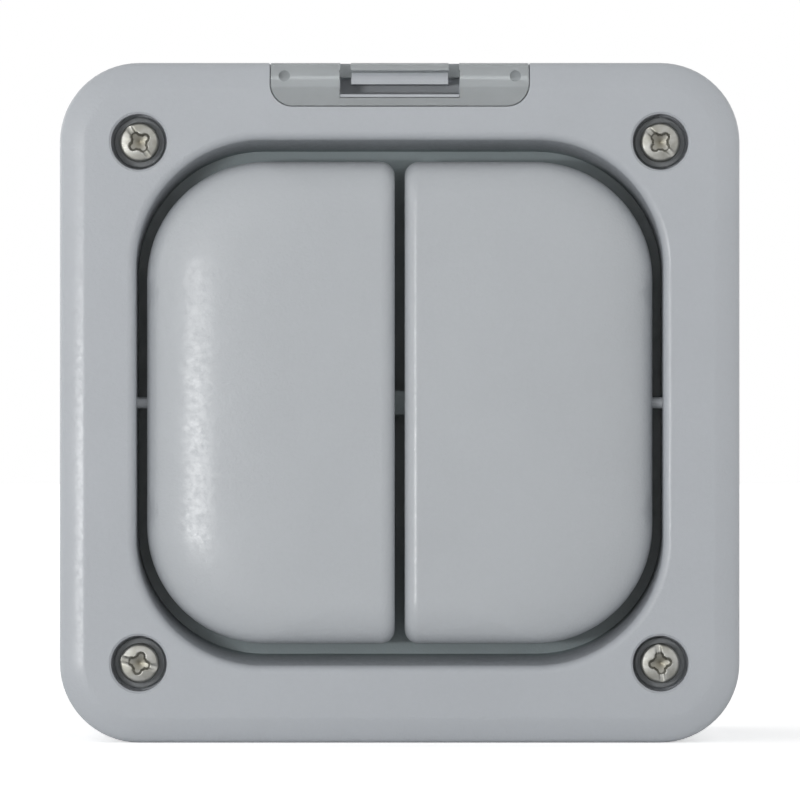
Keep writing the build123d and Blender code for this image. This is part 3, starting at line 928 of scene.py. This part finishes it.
def add_ring(shape: bmesh.types.BMesh, radius: float, depth: float, segments: int) -> Ring:
    """Add a ring of points about the Y axis.

    Args:
        shape: Mesh to add to.
        radius: Radius of the ring.
        depth: Its place along Y.
        segments: Steps round the axis.

    Returns:
        The points in order.
    """
    angles = [2 * math.pi * step / segments for step in range(segments)]
    return [shape.verts.new((radius * math.cos(a), depth, radius * math.sin(a))) for a in angles]


def join_rings(shape: bmesh.types.BMesh, rings: list[Ring]) -> None:
    """Join neighbouring rings of points with faces, a lone point as a fan.

    Args:
        shape: Mesh that holds the points.
        rings: Rings in order, each with the same number of points or with one.
    """
    for first, second in zip(rings, rings[1:]):
        count = max(len(first), len(second))
        for step in range(count):
            following = (step + 1) % count
            corners = [first[step % len(first)], first[following % len(first)]]
            corners += [second[following % len(second)], second[step % len(second)]]
            shape.faces.new(list(dict.fromkeys(corners)))


def finish_turned(shape: bmesh.types.BMesh, name: str, crease: float = math.radians(40)) -> bpy.types.Mesh:
    """Point the faces outwards, smooth them and make the mesh.

    Args:
        shape: Closed shape, used up here.
        name: Name of the mesh.
        crease: Angle above which an edge stays sharp.

    Returns:
        The finished mesh.
    """
    bmesh.ops.recalc_face_normals(shape, faces=shape.faces)
    mesh = bpy.data.meshes.new(name)
    shape.to_mesh(mesh)
    shape.free()
    mesh.shade_smooth()
    mesh.set_sharp_from_angle(angle=crease)
    return mesh


@dataclass
class CoverScrews:
    """The four pan-head screws of the cover and the rubber washers under them."""

    paint: Paintbox
    place: float = 36.8 * MM
    seat: float = -48.8 * MM
    head_radius: float = 2.8 * MM
    head_height: float = 2.1 * MM
    head_roll: float = 0.45 * MM
    crown: float = 0.3 * MM
    shank_radius: float = 1.45 * MM
    tip: float = -25.6 * MM
    arm_length: float = 1.55 * MM
    arm_half: float = 0.55 * MM
    recess_depth: float = 1.1 * MM
    recess_rise: float = 0.4
    wall_run: float = 0.38 * MM
    pocket_radius: float = 1.05 * MM
    slot_half: float = 0.36 * MM
    slot_depth: float = 0.42 * MM
    rim: float = 0.1 * MM
    segments: int = 96
    rings: int = 30
    ring_power: float = 1.25
    thread_pitch: float = 0.7 * MM
    thread_depth: float = 0.14 * MM
    plain_turns: int = 2
    tip_bevel: float = 0.4 * MM
    seal_radius: float = 3.6 * MM
    seal_thickness: float = 1.0 * MM
    seal_clearance: float = 0.1 * MM
    seal_roll: float = 0.35 * MM
    seal_roll_steps: int = 4
    seal_segments: int = 48
    turns: tuple[float, ...] = (55.0, 45.0, 15.0, 82.0)

    def recess(self, x: float, z: float) -> float:
        """Depth of the cross recess at a point of the head.

        Args:
            x: Place across the head.
            z: Place up the head.

        Returns:
            Depth below the domed face.
        """
        reach = math.hypot(x, z)
        along, across = max(abs(x), abs(z)), min(abs(x), abs(z))
        past_arm = max(0.0, along - self.arm_length + self.arm_half)
        outside = min(math.hypot(past_arm, across) - self.arm_half, reach - self.pocket_radius)
        slope = 1 - self.recess_rise * min(1.0, reach / self.arm_length)
        return self.recess_depth * self.wall(outside) * slope

    def wall(self, outside: float) -> float:
        """Share of a recess's depth near its wall.

        Args:
            outside: Distance outside the wall, below zero inside it.

        Returns:
            From 0 well outside to 1 well inside, with rounded edges.
        """
        share = min(1.0, max(0.0, 0.5 - outside / self.wall_run))
        return share * share * (3 - 2 * share)

    def head_point(self, radius: float) -> float:
        """Depth of the domed head at a distance from its axis.

        Args:
            radius: Distance from the axis.

        Returns:
            Depth in the part's frame, lower towards the front.
        """
        front = self.seat - self.head_height
        flat = self.head_radius - self.head_roll
        dome = self.crown * (radius / self.head_radius) ** 2
        if radius <= flat:
            return front + dome
        run = min(1.0, (radius - flat) / self.head_roll)
        return front + dome + self.head_roll * (1 - math.sqrt(max(0.0, 1 - run * run)))

    def face_point(self, x: float, z: float) -> float:
        """Depth of the head's face at a point, with its cross recess and its flat slot.

        Args:
            x: Place across the head.
            z: Place up the head.

        Returns:
            Depth in the part's frame.
        """
        dome = self.head_point(math.hypot(x, z))
        slot_floor = self.seat - self.head_height + self.slot_depth
        slot = max(0.0, slot_floor - dome) * self.wall(abs(z) - self.slot_half)
        return dome + max(self.recess(x, z), slot)

    def screw_mesh(self) -> bpy.types.Mesh:
        """Build one screw at the middle of the plate.

        Returns:
            The screw's mesh, with its axis along Y.
        """
        shape = bmesh.new()
        rings = [[shape.verts.new((0.0, self.face_point(0.0, 0.0), 0.0))]]
        for step in range(1, self.rings + 1):
            radius = self.head_radius * (1 - (1 - step / self.rings) ** self.ring_power)
            ring = add_ring(shape, radius, 0.0, self.segments)
            for corner in ring:
                corner.co.y = self.face_point(corner.co.x, corner.co.z)
            rings.append(ring)
        head, shank = self.head_radius, self.shank_radius
        profile: Profile = [(head, self.seat - self.rim), (head - self.rim, self.seat), (shank, self.seat)]
        turns = int((self.tip - self.seat) / self.thread_pitch) - self.plain_turns
        for turn in range(self.plain_turns, turns):
            top = self.seat + turn * self.thread_pitch
            profile += [(shank, top), (shank - self.thread_depth, top + self.thread_pitch / 2)]
        profile.append((shank, self.seat + turns * self.thread_pitch))
        profile += [(shank, self.tip - self.tip_bevel), (shank - self.tip_bevel, self.tip)]
        rings += [add_ring(shape, radius, depth, self.segments) for radius, depth in profile]
        rings.append([shape.verts.new((0.0, self.tip, 0.0))])
        join_rings(shape, rings)
        return finish_turned(shape, "cover_screw")

    def seal_mesh(self) -> bpy.types.Mesh:
        """Build one rubber washer at the middle of the plate.

        Returns:
            The washer's mesh, with its axis along Y.
        """
        back = self.seat + self.seal_thickness
        hole = self.shank_radius + self.seal_clearance
        roll = self.seal_roll
        profile: Profile = [(hole, self.seat), (self.seal_radius - roll, self.seat)]
        for step in range(1, self.seal_roll_steps + 1):
            angle = math.pi / 2 * step / self.seal_roll_steps
            lift = roll * (1 - math.cos(angle))
            profile.append((self.seal_radius - roll + roll * math.sin(angle), self.seat + lift))
        profile += [(self.seal_radius, back), (hole, back)]
        shape = bmesh.new()
        rings = [add_ring(shape, radius, depth, self.seal_segments) for radius, depth in profile]
        join_rings(shape, rings + rings[:1])
        return finish_turned(shape, "screw_seal")

    def build(self) -> list[Piece]:
        """Build the screws and washers, and set them in the four corners.

        Returns:
            The two pieces.
        """
        points = [Vector((x * self.place, 0.0, z * self.place)) for z in (1, -1) for x in (-1, 1)]
        turns = [math.radians(turn) for turn in self.turns]
        repeater = Repeater()
        made = []
        for name, mesh, slot in (
            ("cover_screws", self.screw_mesh(), "screw_steel"),
            ("screw_seals", self.seal_mesh(), "seal_rubber"),
        ):
            piece = repeater.place(name + "_set", mesh, points, turns, self.paint.materials[slot])
            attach(piece, node_body(name))
            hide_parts(name)
            made.append(piece)
        return made


@dataclass
class Housing:
    """The cover, the box behind it, the seal between them and the label window."""

    paint: Paintbox
    smoother: Smoother = field(default_factory=Smoother)
    nodes: tuple[str, ...] = ("front_cover", "back_box", "box_gasket", "label_window")
    edged: tuple[str, ...] = ("front_cover", "label_window")
    edge: PlateEdge = field(default_factory=PlateEdge)

    def build(self) -> list[Piece]:
        """Build the housing's mouldings from their CAD nodes.

        Returns:
            The pieces.
        """
        slots = node_slots()
        made = []
        for node in self.nodes:
            edge = self.edge if node in self.edged else None
            piece = self.smoother.copy(node, node + "_moulding", edge)
            self.paint.dress(piece, slots[node])
            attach(piece, node_body(node))
            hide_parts(node)
            made.append(piece)
        return made


@dataclass
class SwitchGang:
    """One gang: its rocker, the membrane under it and the spring of its dolly."""

    paint: Paintbox
    side: Gang
    smoother: Smoother = field(default_factory=Smoother)
    sheet_thickness: float = 1.2 * MM
    dome_wall: float = 1.0 * MM
    spring_turns: float = 5.0
    wire_radius: float = 0.2 * MM

    def node(self, name: str) -> str:
        """Give the CAD name of one of this gang's nodes."""
        return f"{self.side.value}_{name}"

    def rocker(self) -> Piece:
        """Build the pillow-shaped rocker."""
        return self.smoother.copy(self.node("rocker"), self.node("rocker_pad"))

    def membrane(self) -> Piece:
        """Build the rubber membrane with its two domes."""
        return self.smoother.copy(self.node("membrane"), self.node("membrane_sheet"))

    def spring(self) -> Piece:
        """Wind the spring in the dolly's bore.

        Returns:
            The spring.
        """
        low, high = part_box(self.node("spring"))
        middle = (low + high) / 2
        sizes = {
            "Turns": self.spring_turns,
            "Radius": (high.x - low.x) / 2 - self.wire_radius,
            "Length": high.y - low.y - 2 * self.wire_radius,
            "Wire radius": self.wire_radius,
            "Place": (middle.x, high.y - self.wire_radius, middle.z),
            "Finish": self.paint.materials[node_slots()[self.node("spring")]],
        }
        return Coil().wind(self.node("spring_coil"), sizes)

    def stretch(self, sheet: Piece) -> None:
        """Bake the membrane's placement into its mesh, so that it stays still while the dolly moves.

        Args:
            sheet: The membrane.
        """
        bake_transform(sheet)

    def build(self) -> list[Piece]:
        """Build the gang's pieces.

        Returns:
            The rocker, the membrane and the spring.
        """
        slots = node_slots()
        made = []
        builders = {"rocker": self.rocker, "membrane": self.membrane, "spring": self.spring}
        for name, builder in builders.items():
            node = self.node(name)
            piece = builder()
            self.paint.dress(piece, slots[node])
            if name == "membrane":
                self.stretch(piece)
            else:
                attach(piece, node_body(node))
            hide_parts(node)
            made.append(piece)
        return made


@dataclass
class Workings:
    """The CAD nodes inside that keep their own shape and get a finish."""

    paint: Paintbox

    def dress(self) -> list[Piece]:
        """Give every CAD node that still shows its finish.

        Returns:
            The dressed nodes.
        """
        slots = node_slots()
        shown = [node for node in frame["nodes"].values() if not node.hide_render]
        for node in shown:
            self.paint.dress(node, slots[node.name])
        return shown


@dataclass
class Studio:
    """Floor, light and camera."""

    floor_size: float = 6.0
    distance: float = 1.0
    rim_depth: float = -48.2 * MM
    frame_width: float = 113.24 * MM
    aim: tuple[float, float] = (0.04 * MM, 0.385 * MM)
    sensor: float = 36.0
    clip: tuple[float, float] = (0.01, 20.0)
    world_light: float = 1.54
    band_half: float = 0.12
    band_edge: float = 0.12
    band_share: float = 0.1
    fade_start: float = 0.2
    fade_end: float = 0.7
    fade_share: float = 0.4
    side_lean: float = 0.2
    top_lean: float = 0.12
    floor_tone: float = 0.95
    floor_glow: float = 0.5
    lamp_turn: float = -27.0
    lamp_rise: float = -1.6
    lamp_away: float = 0.9
    lamp_width: float = 0.17
    lamp_height: float = 0.05
    lamp_watts: float = 1.5

    @staticmethod
    def seen(graph: Graph, *rays: str) -> Socket:
        """Tell rays of the given kinds from all others.

        Args:
            graph: Graph to add to.
            rays: Names of the Light Path outputs.

        Returns:
            A socket that is 1 for these rays and 0 for the others.
        """
        path = graph.add("ShaderNodeLightPath").outputs
        found = path[rays[0]]
        for ray in rays[1:]:
            found = graph.sum("MAXIMUM", found, path[ray])
        return found

    def world(self) -> None:
        """Make a pale surround with a dim upright band, fading up and down, and white to the camera."""
        world = bpy.data.worlds.new("studio")
        bpy.context.scene.world = world
        graph = blank_graph(world)
        seen = self.seen(graph, "Is Camera Ray", "Is Transmission Ray", "Is Glossy Ray")
        toward = graph.add("ShaderNodeTexCoord").outputs["Generated"]
        parts = graph.add("ShaderNodeSeparateXYZ", {0: toward}).outputs
        across = graph.sum("ABSOLUTE", parts["X"])
        low = self.band_share * self.world_light
        light = graph.spread(across, self.band_half, self.band_half + self.band_edge, low, self.world_light)
        along = graph.sum("ABSOLUTE", parts["Z"])
        fade = graph.spread(along, self.fade_start, self.fade_end, 1.0, self.fade_share)
        light = graph.sum("MULTIPLY", light, fade)
        lean = graph.sum("MULTIPLY", parts["X"], self.side_lean)
        lean = graph.sum("ADD", lean, graph.sum("MULTIPLY", parts["Z"], self.top_lean))
        light = graph.sum("MULTIPLY", light, graph.sum("SUBTRACT", 1.0, lean))
        strength = graph.sum("MAXIMUM", light, seen)
        sky = graph.add("ShaderNodeBackground", {"Color": (*WHITE, 1.0), "Strength": strength})
        graph.add("ShaderNodeOutputWorld", {"Surface": sky.outputs[0]})

    def floor(self) -> None:
        """Lay a pale floor under the object, which keeps its shadow."""
        half = self.floor_size / 2
        height = cad_box[0].z
        corners = [(-half, -half, height), (half, -half, height), (half, half, height), (-half, half, height)]
        mesh = bpy.data.meshes.new("floor")
        mesh.from_pydata(corners, [], [(0, 1, 2, 3)])
        floor = link_piece("floor", mesh)
        material = bpy.data.materials.new("studio_floor")
        graph = blank_graph(material)
        seen = self.seen(graph, "Is Camera Ray", "Is Transmission Ray")
        glow = graph.sum("MULTIPLY", seen, self.floor_glow)
        tone = shaded(WHITE, self.floor_tone)
        diffuse = graph.add("ShaderNodeBsdfDiffuse", {"Color": (*tone, 1.0)})
        light = graph.add("ShaderNodeEmission", {"Strength": glow})
        both = graph.add("ShaderNodeAddShader", {0: diffuse.outputs[0], 1: light.outputs[0]})
        graph.add("ShaderNodeOutputMaterial", {"Surface": both.outputs[0]})
        mesh.materials.append(material)

    def lamp(self) -> None:
        """Hang one soft lamp, wide and low, to the left of the camera, facing the object."""
        data = bpy.data.lights.new("left_lamp", "AREA")
        data.shape = "RECTANGLE"
        data.size = self.lamp_width
        data.size_y = self.lamp_height
        data.energy = self.lamp_watts
        lamp = bpy.data.objects.new("left_lamp", data)
        bpy.context.scene.collection.objects.link(lamp)
        turn, rise = math.radians(self.lamp_turn), math.radians(self.lamp_rise)
        level = math.cos(rise)
        back = Vector((math.sin(turn) * level, -math.cos(turn) * level, math.sin(rise)))
        lamp.location = back * self.lamp_away
        lamp.rotation_euler = (-back).to_track_quat("-Z", "Y").to_euler()

    def camera(self) -> None:
        """Set the camera straight in front, with a long lens."""
        data = bpy.data.cameras.new("photo_camera")
        data.sensor_width = self.sensor
        data.lens = self.sensor * self.distance / self.frame_width
        data.clip_start, data.clip_end = self.clip
        camera = bpy.data.objects.new("photo_camera", data)
        bpy.context.scene.collection.objects.link(camera)
        camera.location = (self.aim[0], self.rim_depth - self.distance, self.aim[1])
        camera.rotation_euler = (math.pi / 2, 0.0, 0.0)
        bpy.context.scene.camera = camera

    def build(self) -> None:
        """Set up the whole studio."""
        self.camera()
        self.world()
        self.floor()
        self.lamp()
        bpy.context.scene.view_settings.view_transform = "Standard"


def main() -> None:
    """Build the studio and every sub-assembly, and report each piece."""
    logging.basicConfig(level=logging.INFO, format="%(name)s: %(message)s")
    Studio().build()
    paint = Paintbox()
    paint.fill()
    pieces = Housing(paint).build()
    for side in Gang:
        pieces += SwitchGang(paint, side).build()
    pieces += CoverScrews(paint).build()
    pieces += Workings(paint).dress()
    for piece in pieces:
        log.info("%s: %d faces", piece.name, len(piece.data.polygons))


if __name__ == "__main__":
    main()
